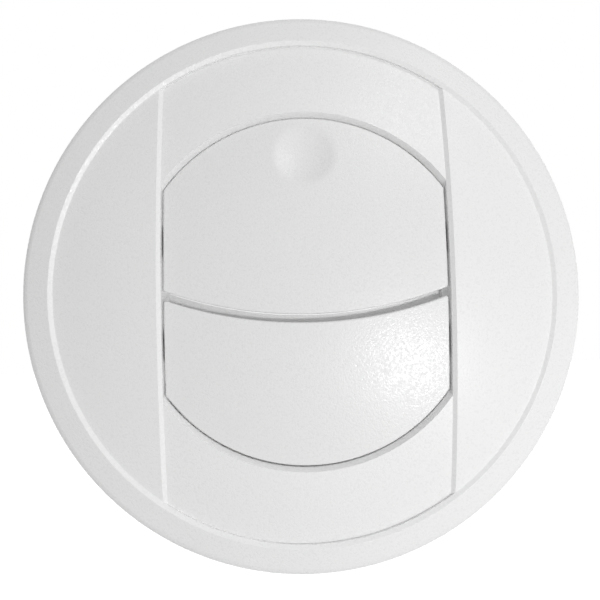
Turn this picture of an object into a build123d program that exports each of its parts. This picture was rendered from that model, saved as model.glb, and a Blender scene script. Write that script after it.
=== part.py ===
from build123d import *
from math import asin, cos, degrees, radians, sin, sqrt
import os

# Round air vent with two linked flaps. Millimetres. The front faces -Y, +Z is up, and the
# wall that the vent is pushed into is the plane y = 0, with the origin on the vent's axis.

# Face: a crowned disc with a raised rim
face_diameter = 133.0
crown_radius = 220.0
edge_height = 2.6
edge_round = 2.5
rim_width = 6.9
rim_step = 0.75
rim_step_run = 1.0
rim_step_round = 0.25
face_wall = 2.2

# Sunk band between the two side panels, and the opening in it
band_width = 65.8
band_step = 0.75
panel_bevel = 0.9
opening_diameter = 80.8
frame_bevel_run = 1.0
frame_bevel_depth = 1.5
frame_lip_wall = 1.8
frame_lip_depth = 9.0
frame_lip_relief = 0.5

# Cheeks: inner side walls that carry the flaps' pivots
cheek_wall = 2.2
cheek_margin = 6.0

# Wall collar with snap tongues, and the duct spigot behind it
collar_step = 1.0
collar_length = 15.0
spigot_diameter = 99.0
spigot_length = 28.0
spigot_wall = 2.0
tongue_count = 4
tongue_first_angle = 0.0
tongue_width = 12.0
tongue_root = 4.0
tongue_slot = 1.6
barb_height = 1.5
barb_grip = 6.0

# Flaps
flap_gap = 0.45
flap_sink = 0.8
flap_wall = 2.2
flap_corner_round = 0.6
flap_edge_round = 0.4
lap_end_height = 0.1
lap_sag = 5.75
lap_gap = 1.8
lip_wall = 1.6
lip_depth = 3.1
lip_inset = 0.6
lap_clearance = 0.5
lap_slit = 0.12
stop_gap = 0.4
stop_wall = 1.6
stop_reach = 2.5
stop_width = 64.0

# Finger dimple in the upper flap
dimple_height = 31.0
dimple_width = 14.2
dimple_depth = 1.2
dimple_round = 6.0

# Pivots of the flaps in the cheeks
pivot_rise = 12.0
pivot_setback = 5.5
pivot_diameter = 4.0
pivot_clearance = 0.08
shoulder_diameter = 5.6
end_float = 0.3
ear_radius = 3.6
ear_wall = 3.0

# Link bar between the flaps
crank_length = 17.0
crank_angle = 67.0
crank_inset = 4.3
crank_wall = 2.0
crank_radius = 2.6
link_pin_diameter = 2.6
link_clearance = 0.1
link_wall = 2.0
link_width = 5.2
link_side_gap = 0.3
link_head_diameter = 3.8
link_head_wall = 0.8

tolerance = 0.01

# Radii of the face
face_radius = face_diameter / 2
rim_top_radius = face_radius - rim_width
rim_foot_radius = rim_top_radius - rim_step_run
opening_radius = opening_diameter / 2
band_half = band_width / 2
spigot_radius = spigot_diameter / 2
collar_radius = spigot_radius + collar_step
duct_radius = spigot_radius - spigot_wall

# Crowns: concentric spheres, from the rim's face down to the back of the closed stop
rim_crown = crown_radius + rim_step
band_crown = crown_radius - band_step
back_crown = band_crown - face_wall
wall_crown = (band_crown + back_crown) / 2
flap_crown = band_crown - flap_sink
flap_back_crown = flap_crown - flap_wall
lip_crown = flap_crown - lip_depth
lap_crown = lip_crown - lap_clearance
lap_back_crown = lap_crown - lip_wall
stop_crown = flap_back_crown - stop_gap
stop_back_crown = stop_crown - stop_wall
crown_centre = sqrt(rim_crown**2 - face_radius**2) - edge_height
seat_radius = sqrt(back_crown**2 - crown_centre**2)
crown_axis = Axis((0, crown_centre, 0), (1, 0, 0))

# Flap outlines: the lap between the flaps is an arc that sags towards the middle
flap_radius = opening_radius - flap_gap
flap_half = band_half - flap_gap
lip_width = 2 * (flap_half - lip_inset)
lap_radius = (flap_half**2 + lap_sag**2) / (2 * lap_sag)
lap_centre = lap_end_height - lap_sag + lap_radius
lap_edge_radius = lap_radius + lap_gap


def crown_depth(radius, distance):
    """Place along Y of a crown's face at this distance from the vent's axis."""
    return crown_centre - sqrt(radius**2 - distance**2)


def crown_arc(radius, start, end):
    """Profile arc of a crown between two distances from the vent's axis."""
    middle = (start + end) / 2
    return ThreePointArc(
        (start, crown_depth(radius, start)),
        (middle, crown_depth(radius, middle)),
        (end, crown_depth(radius, end)),
    )


def crowned(outline, front, back):
    """A plate of this outline between two crowns."""
    with BuildPart() as plate:
        extrude(outline.sketch, amount=face_radius, both=True)
        with Locations((0, crown_centre, 0)):
            Sphere(front, mode=Mode.INTERSECT)
            Sphere(back, mode=Mode.SUBTRACT)
    return plate.part


def lap_strip(inner, outer):
    """Outline of a strip along the lap, between two radii about the lap's centre."""
    with BuildSketch(Plane.XZ) as strip:
        with Locations((0, lap_centre)):
            Circle(outer)
            Circle(inner, mode=Mode.SUBTRACT)
        Rectangle(lip_width, flap_radius, mode=Mode.INTERSECT)
    return strip


# Pivot axes, crank pins and the depth at which their lugs grow out of a flap
pivot_depth = crown_depth(flap_crown, sqrt(flap_half**2 + pivot_rise**2)) + pivot_setback
crank_out = crank_length * cos(radians(crank_angle))
crank_up = crank_length * sin(radians(crank_angle))
pin_depth = pivot_depth + crank_out
crank_face = flap_half - ear_wall - crank_inset
link_face = crank_face - link_side_gap
link_back = link_face - link_wall
link_hole_radius = link_pin_diameter / 2 + link_clearance
lug_crown = (flap_crown + flap_back_crown) / 2


def pivots(height):
    """The two ears of a flap, each with a thrust shoulder and a stub pivot."""
    root = crown_depth(lug_crown, sqrt(flap_half**2 + height**2))
    with BuildPart() as ears:
        for side in (-1, 1):
            with BuildSketch(Plane.YZ.offset(side * flap_half)) as ear:
                with Locations(((root + pivot_depth) / 2, height)):
                    Rectangle(pivot_depth - root, 2 * ear_radius)
                with Locations((pivot_depth, height)):
                    Circle(ear_radius)
            extrude(amount=-side * ear_wall)
            with BuildSketch(Plane.YZ.offset(side * flap_half)) as shoulder:
                with Locations((pivot_depth, height)):
                    Circle(shoulder_diameter / 2)
            extrude(amount=side * (flap_gap - end_float))
            with BuildSketch(Plane.YZ.offset(side * flap_half)) as stub:
                with Locations((pivot_depth, height)):
                    Circle(pivot_diameter / 2)
            extrude(amount=side * (flap_gap + cheek_wall))
    return ears.part


def crank(height):
    """The crank arm of a flap, with the headed pin that carries one end of the link bar."""
    root = crown_depth(lug_crown, sqrt(crank_face**2 + height**2))
    with BuildPart() as arm:
        with BuildSketch(Plane.YZ.offset(crank_face)) as side:
            with Locations(((root + pivot_depth) / 2, height)):
                Rectangle(pivot_depth - root, 2 * crank_radius)
            with Locations((pivot_depth + crank_out / 2, height + crank_up / 2)):
                SlotCenterToCenter(crank_length, 2 * crank_radius, rotation=crank_angle)
        extrude(amount=crank_wall)
        with BuildSketch(Plane.YZ.offset(crank_face)) as pin:
            with Locations((pin_depth, height + crank_up)):
                Circle(link_pin_diameter / 2)
        extrude(amount=-(link_wall + 2 * link_side_gap))
        with BuildSketch(Plane.YZ.offset(link_back - link_side_gap)) as head:
            with Locations((pin_depth, height + crank_up)):
                Circle(link_head_diameter / 2)
        extrude(amount=-link_head_wall)
    return arm.part


# Housing: face, opening, cheeks, wall collar and duct spigot in one moulding
with BuildPart() as band_space:
    bevel_top = band_half + 2 * panel_bevel
    with BuildSketch(Plane.XY) as band_section:
        with BuildLine() as band_edge:
            crown_arc(band_crown, 0, band_half)
            Line(band_edge.line @ 1, (bevel_top, crown_depth(crown_radius + band_step, bevel_top)))
            crown_arc(crown_radius + band_step, bevel_top, 0)
            mirror(about=Plane.YZ)
        make_face()
    revolve(axis=crown_axis, revolution_arc=degrees(asin(face_radius / crown_radius)))
    mirror(about=Plane.XY)
    with BuildSketch(Plane.XZ) as band_ends:
        Circle(rim_foot_radius)
    extrude(amount=face_radius, both=True, mode=Mode.INTERSECT)

with BuildPart() as frame_bevel:
    bevel_foot = crown_depth(band_crown, opening_radius) + frame_bevel_depth
    bevel_front = bevel_foot - 2 * frame_bevel_depth
    with BuildSketch(Plane.XY) as bevel_section:
        with BuildLine():
            Polyline(
                (0, bevel_foot),
                (opening_radius, bevel_foot),
                (opening_radius + 2 * frame_bevel_run, bevel_front),
                (0, bevel_front),
                close=True,
            )
        make_face()
    revolve(axis=Axis.Y)
    with BuildSketch(Plane.XZ) as bevel_sides:
        Rectangle(band_width, face_diameter)
    extrude(amount=face_radius, both=True, mode=Mode.INTERSECT)

with BuildSketch(Plane.XZ) as opening_outline:
    Circle(opening_radius)
    Rectangle(band_width, opening_diameter, mode=Mode.INTERSECT)

with BuildSketch(Plane.XZ) as frame_lip_outline:
    Circle(opening_radius + frame_lip_relief + frame_lip_wall)
    Circle(opening_radius + frame_lip_relief, mode=Mode.SUBTRACT)
    Rectangle(band_width + cheek_wall, face_diameter, mode=Mode.INTERSECT)

with BuildSketch(Plane.XZ) as stop_outline:
    Circle(opening_radius + frame_lip_relief + frame_lip_wall)
    Circle(opening_radius - stop_reach, mode=Mode.SUBTRACT)
    with Locations((0, -opening_radius)):
        Rectangle(stop_width, opening_radius, mode=Mode.INTERSECT)

frame_lip = crowned(frame_lip_outline, wall_crown, band_crown - frame_lip_depth)
closed_stop = crowned(stop_outline, stop_crown, stop_back_crown)
cheek_depth = pivot_depth + cheek_margin
tongue_end = collar_length - tongue_slot

with BuildPart() as housing:
    # Cheeks, trimmed to the inside of the face
    with BuildSketch(Plane.XZ.offset(-cheek_depth)) as cheeks:
        Circle(duct_radius + spigot_wall / 2)
        Rectangle(band_width + 2 * cheek_wall, spigot_diameter, mode=Mode.INTERSECT)
        Rectangle(band_width, spigot_diameter, mode=Mode.SUBTRACT)
    extrude(amount=face_radius)
    with Locations((0, crown_centre, 0)):
        Sphere(wall_crown, mode=Mode.INTERSECT)

    # Face, collar and spigot in one profile
    with BuildSketch(Plane.XY) as profile:
        with BuildLine() as outline:
            crown_arc(crown_radius, 0, rim_foot_radius)
            Line(outline.line @ 1, (rim_top_radius, crown_depth(rim_crown, rim_top_radius)))
            crown_arc(rim_crown, rim_top_radius, face_radius)
            Polyline((face_radius, -edge_height), (face_radius, 0), (seat_radius, 0))
            crown_arc(back_crown, seat_radius, collar_radius)
            Polyline(
                (collar_radius, crown_depth(back_crown, collar_radius)),
                (collar_radius, collar_length),
                (spigot_radius, collar_length),
                (spigot_radius, collar_length + spigot_length),
                (duct_radius, collar_length + spigot_length),
                (duct_radius, crown_depth(back_crown, duct_radius)),
            )
            crown_arc(back_crown, duct_radius, 0)
            Line((0, crown_depth(back_crown, 0)), (0, crown_depth(crown_radius, 0)))
        make_face()
        step_middle = ((rim_foot_radius + rim_top_radius) / 2, crown_depth(rim_crown, rim_top_radius))
        fillet(profile.vertices().sort_by_distance(step_middle)[:2], rim_step_round)
    revolve(axis=Axis.Y)

    # Band, opening with its bevel, and the lip behind it
    add(band_space.part, mode=Mode.SUBTRACT)
    add(frame_bevel.part, mode=Mode.SUBTRACT)
    extrude(opening_outline.sketch, amount=face_radius, both=True, mode=Mode.SUBTRACT)
    add(frame_lip)
    add(closed_stop)

    # Pivot holes through the cheeks
    with BuildSketch(Plane.YZ) as pivot_holes:
        with Locations((pivot_depth, pivot_rise), (pivot_depth, -pivot_rise)):
            Circle(pivot_diameter / 2 + pivot_clearance)
    extrude(amount=band_half + cheek_wall, both=True, mode=Mode.SUBTRACT)

    # Rounded rim
    rim_edges = housing.edges().filter_by(GeomType.CIRCLE).filter_by(
        lambda edge: abs(edge.radius - face_radius) < tolerance
    )
    fillet(rim_edges.sort_by(Axis.Y)[0], min(edge_round, edge_height - tolerance))

    # Snap tongues: a slot round three sides frees each one, and its barb grips behind the wall
    for number in range(tongue_count):
        turn = tongue_first_angle + number * 360 / tongue_count
        radial = Plane.XY.rotated((0, turn, 0))
        outward = Plane(origin=(0, 0, 0), x_dir=radial.z_dir, z_dir=radial.x_dir)
        with BuildSketch(outward.offset(duct_radius - spigot_wall)) as slot:
            with Locations((0, -(tongue_root + collar_length) / 2)):
                Rectangle(tongue_width + 2 * tongue_slot, collar_length - tongue_root)
            with Locations((0, -(tongue_root + collar_length - tongue_slot) / 2)):
                Rectangle(tongue_width, collar_length - tongue_root - tongue_slot, mode=Mode.SUBTRACT)
        extrude(amount=collar_radius, mode=Mode.SUBTRACT)
        with BuildSketch(radial) as barb:
            with BuildLine():
                Polyline(
                    (collar_radius - spigot_wall / 2, barb_grip),
                    (collar_radius + barb_height, barb_grip),
                    (collar_radius, tongue_end),
                    (collar_radius - spigot_wall / 2, tongue_end),
                    close=True,
                )
            make_face()
        extrude(amount=tongue_width / 2, both=True)

# Upper flap: finger dimple at its top, turned-in lip along the lap
with BuildSketch(Plane.XZ) as upper_outline:
    Circle(flap_radius)
    Rectangle(2 * flap_half, 2 * flap_radius, mode=Mode.INTERSECT)
    with Locations((0, lap_centre)):
        Circle(lap_radius, mode=Mode.INTERSECT)
    fillet(upper_outline.vertices(), flap_corner_round)

dimple_radius = ((dimple_width / 2) ** 2 + dimple_depth**2) / (2 * dimple_depth)
dimple_lean = asin(dimple_height / flap_crown)
dimple_reach = flap_crown + dimple_radius - dimple_depth
dimple_centre = (0, crown_centre - dimple_reach * cos(dimple_lean), dimple_reach * sin(dimple_lean))

with BuildPart() as dimple_wall:
    extrude(upper_outline.sketch, amount=face_radius, both=True)
    with Locations((0, crown_centre, 0)):
        Sphere(lug_crown, mode=Mode.INTERSECT)
    with Locations(dimple_centre):
        Sphere(dimple_radius + flap_wall, mode=Mode.INTERSECT)

upper_plate = crowned(upper_outline, flap_crown, flap_back_crown)
upper_lip = crowned(lap_strip(lap_radius - lip_wall, lap_radius), lug_crown, lip_crown)
upper_pivots = pivots(pivot_rise)
upper_crank = crank(pivot_rise)

with BuildPart() as upper_flap:
    add(upper_plate)
    fillet(upper_flap.faces().sort_by(Axis.Y)[0].edges(), flap_edge_round)
    add(dimple_wall.part)
    with Locations(dimple_centre):
        Sphere(dimple_radius, mode=Mode.SUBTRACT)
    fillet(upper_flap.edges().sort_by_distance(dimple_centre)[0], dimple_round)
    add(upper_lip)
    add(upper_pivots)
    add(upper_crank)

# Lower flap: its top edge turns in and laps behind the upper flap's lip
with BuildSketch(Plane.XZ) as lower_outline:
    Circle(flap_radius)
    Rectangle(2 * flap_half, 2 * flap_radius, mode=Mode.INTERSECT)
    with Locations((0, lap_centre)):
        Circle(lap_edge_radius, mode=Mode.SUBTRACT)
    fillet(lower_outline.vertices(), flap_corner_round)

lower_plate = crowned(lower_outline, flap_crown, flap_back_crown)
lower_turn = crowned(lap_strip(lap_edge_radius, lap_edge_radius + lip_wall), lug_crown, lap_back_crown)
lap_outline = lap_strip(lap_radius + lap_slit, lap_edge_radius + lip_wall)
lower_lap = crowned(lap_outline, lap_crown, lap_back_crown)
lower_pivots = pivots(-pivot_rise)
lower_crank = crank(-pivot_rise)

with BuildPart() as lower_flap:
    add(lower_plate)
    fillet(lower_flap.faces().sort_by(Axis.Y)[0].edges(), flap_edge_round)
    add(lower_turn)
    add(lower_lap)
    add(lower_pivots)
    add(lower_crank)

# Link bar: its two eyes ride on the flaps' crank pins
with BuildPart() as link_bar:
    with BuildSketch(Plane.YZ.offset(link_back)) as bar:
        with Locations((pin_depth, crank_up)):
            SlotCenterToCenter(2 * pivot_rise, link_width, rotation=90)
        with Locations((pin_depth, crank_up + pivot_rise), (pin_depth, crank_up - pivot_rise)):
            Circle(link_hole_radius, mode=Mode.SUBTRACT)
    extrude(amount=link_wall)

housing.part.label = "housing"
upper_flap.part.label = "upper_flap"
lower_flap.part.label = "lower_flap"
link_bar.part.label = "link_bar"

os.makedirs("parts", exist_ok=True)
export_step(housing.part, "parts/housing.step")
export_step(upper_flap.part, "parts/upper_flap.step")
export_step(lower_flap.part, "parts/lower_flap.step")
export_step(link_bar.part, "parts/link_bar.step")
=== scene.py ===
"""Dresses the round air vent: moulded plastic for its housing, flaps and link bar, and the studio."""

import math

import bpy
from bpy.props import FloatProperty, FloatVectorProperty, PointerProperty
from mathutils import Matrix, Vector

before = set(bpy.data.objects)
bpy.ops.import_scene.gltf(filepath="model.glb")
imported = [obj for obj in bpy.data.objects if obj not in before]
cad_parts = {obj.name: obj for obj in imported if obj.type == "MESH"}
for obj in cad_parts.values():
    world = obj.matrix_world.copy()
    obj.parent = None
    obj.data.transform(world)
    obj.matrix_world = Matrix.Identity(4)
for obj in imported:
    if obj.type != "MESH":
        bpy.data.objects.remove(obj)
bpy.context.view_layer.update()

bl_info = {
    "name": "Round Air Vent Looks",
    "version": (1, 0, 0),
    "blender": (4, 5, 0),
    "location": "View3D > Sidebar > Vent",
    "description": "Moulded white plastic and a pale studio for a round air vent with two flaps",
    "category": "Object",
}

MM = 0.001
UP = Vector((0, 0, 1))
WHITE = (1.0, 1.0, 1.0, 1.0)

# The values that most of a noise texture lies between
NOISE_SPAN = (0.3, 0.7)

# The mould grain, in lumps, specks and clouds to a metre, and the specks' share of its height
LUMPS = 1700.0
SPECKS = 3400.0
CLOUDS = 28.0
SPECK_SHARE = 0.25

# How the room's light changes from the front to the back, along the vent's axis
FRONT_TO_SIDES = (-1.0, 0.0)
SIDES_TO_BACK = (0.3, 1.0)

SENSOR_WIDTH = 36.0
NEAREST_VIEW = 1 * MM


# Shared effects


def noise(nodes, links, place, scale, detail):
    """A noise texture at this many lumps to a metre."""
    node = nodes.new("ShaderNodeTexNoise")
    node.inputs["Scale"].default_value = scale
    node.inputs["Detail"].default_value = detail
    links.new(place, node.inputs["Vector"])
    return node.outputs["Fac"]


def ramp(nodes, links, value, given, made):
    """Maps a value from the given span to the made one, whose ends are numbers or sockets."""
    node = nodes.new("ShaderNodeMapRange")
    links.new(value, node.inputs["Value"])
    for label, end in zip(("From Min", "From Max", "To Min", "To Max"), (*given, *made)):
        if isinstance(end, bpy.types.NodeSocket):
            links.new(end, node.inputs[label])
        else:
            node.inputs[label].default_value = end
    return node.outputs["Result"]


def mould_grain():
    """Fine matt grain of a spark-eroded mould: height, roughness and a faint drift of the tone."""
    group = bpy.data.node_groups.new("Mould grain", "ShaderNodeTree")
    for label, way, kind in (
        ("Tone", "INPUT", "NodeSocketColor"),
        ("Flow Tone", "INPUT", "NodeSocketColor"),
        ("Smooth", "INPUT", "NodeSocketFloat"),
        ("Rough", "INPUT", "NodeSocketFloat"),
        ("Color", "OUTPUT", "NodeSocketColor"),
        ("Roughness", "OUTPUT", "NodeSocketFloat"),
        ("Height", "OUTPUT", "NodeSocketFloat"),
    ):
        group.interface.new_socket(label, in_out=way, socket_type=kind)
    nodes, links = group.nodes, group.links
    given = nodes.new("NodeGroupInput")
    made = nodes.new("NodeGroupOutput")
    place = nodes.new("ShaderNodeTexCoord").outputs["Object"]
    lumps = noise(nodes, links, place, LUMPS, detail=2.0)
    specks = noise(nodes, links, place, SPECKS, detail=1.0)
    flow = noise(nodes, links, place, CLOUDS, detail=3.0)

    height = nodes.new("ShaderNodeMix")
    height.data_type = "FLOAT"
    height.inputs["Factor"].default_value = SPECK_SHARE
    links.new(lumps, height.inputs["A"])
    links.new(specks, height.inputs["B"])
    links.new(height.outputs["Result"], made.inputs["Height"])

    ends = (given.outputs["Smooth"], given.outputs["Rough"])
    links.new(ramp(nodes, links, lumps, NOISE_SPAN, ends), made.inputs["Roughness"])

    tone = nodes.new("ShaderNodeMix")
    tone.data_type = "RGBA"
    links.new(ramp(nodes, links, flow, NOISE_SPAN, (0.0, 1.0)), tone.inputs["Factor"])
    links.new(given.outputs["Tone"], tone.inputs["A"])
    links.new(given.outputs["Flow Tone"], tone.inputs["B"])
    links.new(tone.outputs["Result"], made.inputs["Color"])
    return group


def moulded_plastic(looks, name, tone, drift, roughness):
    """White moulded plastic with mould grain, whose tone falls by the drift where the melt flowed."""
    material = bpy.data.materials.new(name)
    material.use_nodes = True
    nodes, links = material.node_tree.nodes, material.node_tree.links
    plastic = nodes["Principled BSDF"]
    plastic.inputs["Specular IOR Level"].default_value = looks.gloss

    grain = nodes.new("ShaderNodeGroup")
    grain.node_tree = bpy.data.node_groups.get("Mould grain") or mould_grain()
    grain.inputs["Tone"].default_value = (*tone, 1.0)
    grain.inputs["Flow Tone"].default_value = (*(part * drift for part in tone), 1.0)
    for label, value in zip(("Smooth", "Rough"), roughness):
        grain.inputs[label].default_value = value

    bump = nodes.new("ShaderNodeBump")
    bump.inputs["Strength"].default_value = 1.0
    bump.inputs["Distance"].default_value = looks.grain_depth
    links.new(grain.outputs["Height"], bump.inputs["Height"])
    links.new(bump.outputs["Normal"], plastic.inputs["Normal"])
    links.new(grain.outputs["Color"], plastic.inputs["Base Color"])
    links.new(grain.outputs["Roughness"], plastic.inputs["Roughness"])
    return material


def finish_node(name, material):
    """Gives a carried-over node its material."""
    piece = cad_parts[name]
    piece.data.materials.clear()
    piece.data.materials.append(material)


# Settings


class VentFinish(bpy.types.PropertyGroup):
    housing_tone: FloatVectorProperty(
        name="Housing Tone",
        description="White of the housing",
        subtype="COLOR",
        min=0,
        max=1,
        default=(0.9, 0.9, 0.9),
    )
    flap_tone: FloatVectorProperty(
        name="Flap Tone",
        description="White of both flaps",
        subtype="COLOR",
        min=0,
        max=1,
        default=(0.855, 0.855, 0.855),
    )
    link_tone: FloatVectorProperty(
        name="Link Tone",
        description="White of the link bar",
        subtype="COLOR",
        min=0,
        max=1,
        default=(0.85, 0.85, 0.84),
    )
    face_drift: FloatProperty(
        name="Face Drift",
        description="Share of the tone that is left where the melt of the housing and flaps flowed",
        subtype="FACTOR",
        min=0,
        max=1,
        default=0.985,
    )
    link_drift: FloatProperty(
        name="Link Drift",
        description="Share of the tone that is left where the melt of the link bar flowed",
        subtype="FACTOR",
        min=0,
        max=1,
        default=0.97,
    )
    face_roughness: FloatVectorProperty(
        name="Face Roughness",
        description="Lowest and highest roughness of the housing and flaps",
        size=2,
        min=0,
        max=1,
        default=(0.18, 0.5),
    )
    link_roughness: FloatVectorProperty(
        name="Link Roughness",
        description="Lowest and highest roughness of the link bar",
        size=2,
        min=0,
        max=1,
        default=(0.42, 0.52),
    )
    gloss: FloatProperty(
        name="Gloss",
        description="Strength of the plastic's reflections",
        subtype="FACTOR",
        min=0,
        max=1,
        default=0.48,
    )
    grain_depth: FloatProperty(
        name="Grain Depth",
        description="Depth of the mould grain",
        unit="LENGTH",
        precision=6,
        default=0.06 * MM,
    )


class VentStage(bpy.types.PropertyGroup):
    floor_drop: FloatProperty(
        name="Floor Drop",
        description="Height of the vent's axis above the floor",
        unit="LENGTH",
        default=0.25,
    )
    floor_reach: FloatProperty(
        name="Floor Reach",
        description="Distance from the middle of the floor to its edges",
        unit="LENGTH",
        default=3.0,
    )
    floor_tone: FloatVectorProperty(
        name="Floor Tone",
        description="Grey of the floor under the room's light",
        subtype="COLOR",
        min=0,
        max=1,
        default=(0.7, 0.7, 0.7),
    )
    floor_lift: FloatProperty(
        name="Floor Lift",
        description="Brightness added to the floor where it shows",
        subtype="FACTOR",
        min=0,
        max=1,
        default=0.9,
    )
    room_front: FloatProperty(
        name="Room Front",
        description="Strength of the soft light from the front of the room",
        min=0,
        default=0.57,
    )
    room_sides: FloatProperty(
        name="Room Sides",
        description="Strength of the soft light from the sides",
        min=0,
        default=0.3,
    )
    room_back: FloatProperty(
        name="Room Back",
        description="Strength of the soft light from behind",
        min=0,
        default=1.35,
    )
    key_place: FloatVectorProperty(
        name="Key Place",
        description="Place of the soft lamp at the lower right",
        subtype="TRANSLATION",
        unit="LENGTH",
        default=(0.206, -0.397, -0.113),
    )
    key_size: FloatProperty(
        name="Key Size",
        description="Width of the lamp at the lower right",
        unit="LENGTH",
        default=0.06,
    )
    key_power: FloatProperty(
        name="Key Power",
        description="Power of the lamp at the lower right",
        unit="POWER",
        default=0.74,
    )
    fill_place: FloatVectorProperty(
        name="Fill Place",
        description="Place of the broad lamp at the upper right",
        subtype="TRANSLATION",
        unit="LENGTH",
        default=(0.23, -0.398, 0.386),
    )
    fill_size: FloatProperty(
        name="Fill Size",
        description="Width of the lamp at the upper right",
        unit="LENGTH",
        default=0.25,
    )
    fill_power: FloatProperty(
        name="Fill Power",
        description="Power of the lamp at the upper right",
        unit="POWER",
        default=0.475,
    )
    camera_place: FloatVectorProperty(
        name="Camera Place",
        description="Place of the camera in front of the vent",
        subtype="TRANSLATION",
        unit="LENGTH",
        default=(-0.00655, -0.1373, -0.0078),
    )
    camera_yaw: FloatProperty(
        name="Camera Yaw",
        description="Turn of the camera to the right",
        subtype="ANGLE",
        default=math.radians(2.156),
    )
    camera_pitch: FloatProperty(
        name="Camera Pitch",
        description="Tilt of the camera upwards",
        subtype="ANGLE",
        default=math.radians(2.4),
    )
    camera_roll: FloatProperty(
        name="Camera Roll",
        description="Turn of the camera about its line of sight",
        subtype="ANGLE",
        default=math.radians(-1.183),
    )
    lens: FloatProperty(
        name="Lens",
        description="Focal length on a 36 mm wide sensor",
        unit="CAMERA",
        default=34.18,
    )


# Pieces


class VENT_OT_housing(bpy.types.Operator):
    """Give the housing its white grained plastic"""

    bl_idname = "vent.housing"
    bl_label = "Finish Housing"

    def execute(self, context):
        looks = context.scene.vent_finish
        plastic = moulded_plastic(
            looks, "Housing plastic", looks.housing_tone, looks.face_drift, looks.face_roughness
        )
        finish_node("housing", plastic)
        return {"FINISHED"}


class VENT_OT_flaps(bpy.types.Operator):
    """Give both flaps their white grained plastic"""

    bl_idname = "vent.flaps"
    bl_label = "Finish Flaps"

    def execute(self, context):
        looks = context.scene.vent_finish
        plastic = moulded_plastic(
            looks, "Flap plastic", looks.flap_tone, looks.face_drift, looks.face_roughness
        )
        for name in ("upper_flap", "lower_flap"):
            finish_node(name, plastic)
        return {"FINISHED"}


class VENT_OT_link_bar(bpy.types.Operator):
    """Give the link bar its plain plastic"""

    bl_idname = "vent.link_bar"
    bl_label = "Finish Link Bar"

    def execute(self, context):
        looks = context.scene.vent_finish
        plastic = moulded_plastic(
            looks, "Link plastic", looks.link_tone, looks.link_drift, looks.link_roughness
        )
        finish_node("link_bar", plastic)
        return {"FINISHED"}


# Studio


def aim(direction):
    """Upright rotation of a camera or lamp that looks along direction."""
    back = -direction.normalized()
    right = UP.cross(back).normalized()
    return Matrix((right, back.cross(right), back)).transposed()


def shown_rays(nodes, links):
    """1 for the rays that show the room itself: to the camera, in a gloss or through glass."""
    path = nodes.new("ShaderNodeLightPath")
    rays = path.outputs["Is Camera Ray"]
    for label in ("Is Glossy Ray", "Is Transmission Ray"):
        either = nodes.new("ShaderNodeMath")
        either.operation = "MAXIMUM"
        links.new(rays, either.inputs[0])
        links.new(path.outputs[label], either.inputs[1])
        rays = either.outputs["Value"]
    return rays


def white_room(scene, front, sides, back):
    """A white room that lights softly from the front and from behind, and shows as white."""
    world = bpy.data.worlds.new("White room")
    scene.world = world
    world.use_nodes = True
    nodes, links = world.node_tree.nodes, world.node_tree.links
    nodes.clear()
    soft = nodes.new("ShaderNodeBackground")
    shown = nodes.new("ShaderNodeBackground")
    for sky in (soft, shown):
        sky.inputs["Color"].default_value = WHITE

    way = nodes.new("ShaderNodeSeparateXYZ")
    links.new(nodes.new("ShaderNodeTexCoord").outputs["Generated"], way.inputs["Vector"])
    depth = way.outputs["Y"]
    level = nodes.new("ShaderNodeMath")
    level.operation = "ADD"
    links.new(ramp(nodes, links, depth, FRONT_TO_SIDES, (front, sides)), level.inputs[0])
    links.new(ramp(nodes, links, depth, SIDES_TO_BACK, (0.0, back - sides)), level.inputs[1])
    links.new(level.outputs["Value"], soft.inputs["Strength"])

    mix = nodes.new("ShaderNodeMixShader")
    links.new(shown_rays(nodes, links), mix.inputs["Fac"])
    links.new(soft.outputs["Background"], mix.inputs[1])
    links.new(shown.outputs["Background"], mix.inputs[2])
    links.new(mix.outputs["Shader"], nodes.new("ShaderNodeOutputWorld").inputs["Surface"])


def floor_finish(tone, lift):
    """Pale floor: it is lit and shaded as it lies, and lifted to white where it shows."""
    material = bpy.data.materials.new("Floor")
    material.use_nodes = True
    nodes, links = material.node_tree.nodes, material.node_tree.links
    nodes.clear()
    matt = nodes.new("ShaderNodeBsdfDiffuse")
    matt.inputs["Color"].default_value = (*tone, 1.0)
    added = nodes.new("ShaderNodeMath")
    added.operation = "MULTIPLY"
    added.inputs[1].default_value = lift
    links.new(shown_rays(nodes, links), added.inputs[0])
    glow = nodes.new("ShaderNodeEmission")
    links.new(added.outputs["Value"], glow.inputs["Strength"])
    both = nodes.new("ShaderNodeAddShader")
    links.new(matt.outputs["BSDF"], both.inputs[0])
    links.new(glow.outputs["Emission"], both.inputs[1])
    links.new(both.outputs["Shader"], nodes.new("ShaderNodeOutputMaterial").inputs["Surface"])
    return material


def pale_floor(scene, height, reach, material):
    """The square floor of the stage at this height."""
    corners = ((-reach, -reach), (reach, -reach), (reach, reach), (-reach, reach))
    mesh = bpy.data.meshes.new("floor")
    mesh.from_pydata([(*corner, height) for corner in corners], [], [range(len(corners))])
    mesh.materials.append(material)
    piece = bpy.data.objects.new("floor", mesh)
    scene.collection.objects.link(piece)


def soft_lamp(scene, name, place, size, power):
    """A round soft lamp at this place, turned to the middle of the vent."""
    light = bpy.data.lights.new(name, "AREA")
    light.shape = "DISK"
    light.size = size
    light.energy = power
    lamp = bpy.data.objects.new(name, light)
    lamp.location = place
    lamp.rotation_euler = aim(-lamp.location).to_euler()
    lamp.visible_camera = False
    scene.collection.objects.link(lamp)


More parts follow.
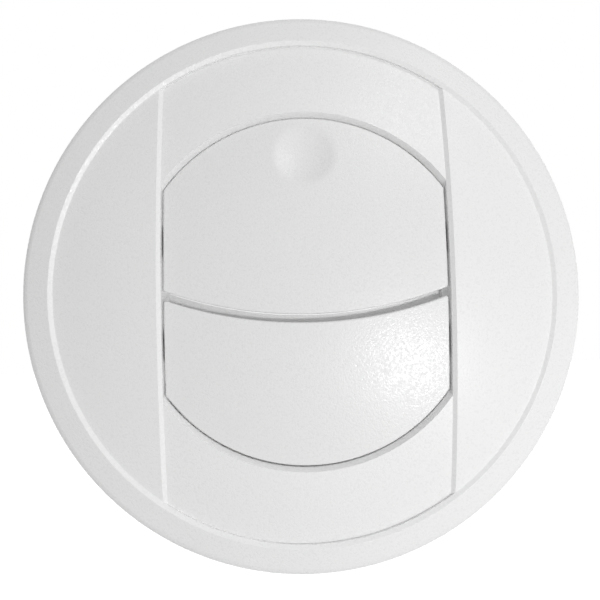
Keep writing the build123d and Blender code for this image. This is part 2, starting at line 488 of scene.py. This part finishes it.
def front_camera(scene, stage):
    """The camera close in front of the vent."""
    optics = bpy.data.cameras.new("Camera")
    optics.sensor_fit = "HORIZONTAL"
    optics.sensor_width = SENSOR_WIDTH
    optics.lens = stage.lens
    optics.clip_start = NEAREST_VIEW
    camera = bpy.data.objects.new("Camera", optics)
    camera.location = stage.camera_place
    level = math.cos(stage.camera_pitch)
    ahead = Vector((
        math.sin(stage.camera_yaw) * level,
        math.cos(stage.camera_yaw) * level,
        math.sin(stage.camera_pitch),
    ))
    roll = Matrix.Rotation(stage.camera_roll, 3, -ahead)
    camera.rotation_euler = (roll @ aim(ahead)).to_euler()
    scene.collection.objects.link(camera)
    scene.camera = camera


class VENT_OT_stage(bpy.types.Operator):
    """Build the floor, the soft light and the camera"""

    bl_idname = "vent.stage"
    bl_label = "Build Stage"

    def execute(self, context):
        scene = context.scene
        stage = scene.vent_stage
        scene.view_settings.view_transform = "Standard"
        white_room(scene, stage.room_front, stage.room_sides, stage.room_back)
        finish = floor_finish(stage.floor_tone, stage.floor_lift)
        pale_floor(scene, -stage.floor_drop, stage.floor_reach, finish)
        soft_lamp(scene, "Key lamp", stage.key_place, stage.key_size, stage.key_power)
        soft_lamp(scene, "Fill lamp", stage.fill_place, stage.fill_size, stage.fill_power)
        front_camera(scene, stage)
        return {"FINISHED"}


class VENT_PT_looks(bpy.types.Panel):
    bl_label = "Round Air Vent"
    bl_idname = "VENT_PT_looks"
    bl_space_type = "VIEW_3D"
    bl_region_type = "UI"
    bl_category = "Vent"

    def draw(self, context):
        layout = self.layout
        for settings, steps in (
            (context.scene.vent_finish, (VENT_OT_housing, VENT_OT_flaps, VENT_OT_link_bar)),
            (context.scene.vent_stage, (VENT_OT_stage,)),
        ):
            for label in settings.__annotations__:
                layout.prop(settings, label)
            for step in steps:
                layout.operator(step.bl_idname)


CLASSES = (
    VentFinish,
    VentStage,
    VENT_OT_housing,
    VENT_OT_flaps,
    VENT_OT_link_bar,
    VENT_OT_stage,
    VENT_PT_looks,
)


def register():
    for kind in CLASSES:
        bpy.utils.register_class(kind)
    bpy.types.Scene.vent_finish = PointerProperty(type=VentFinish)
    bpy.types.Scene.vent_stage = PointerProperty(type=VentStage)


def unregister():
    del bpy.types.Scene.vent_stage
    del bpy.types.Scene.vent_finish
    for kind in reversed(CLASSES):
        bpy.utils.unregister_class(kind)


def main():
    register()
    bpy.ops.vent.housing()
    bpy.ops.vent.flaps()
    bpy.ops.vent.link_bar()
    bpy.ops.vent.stage()


if __name__ == "__main__":
    main()
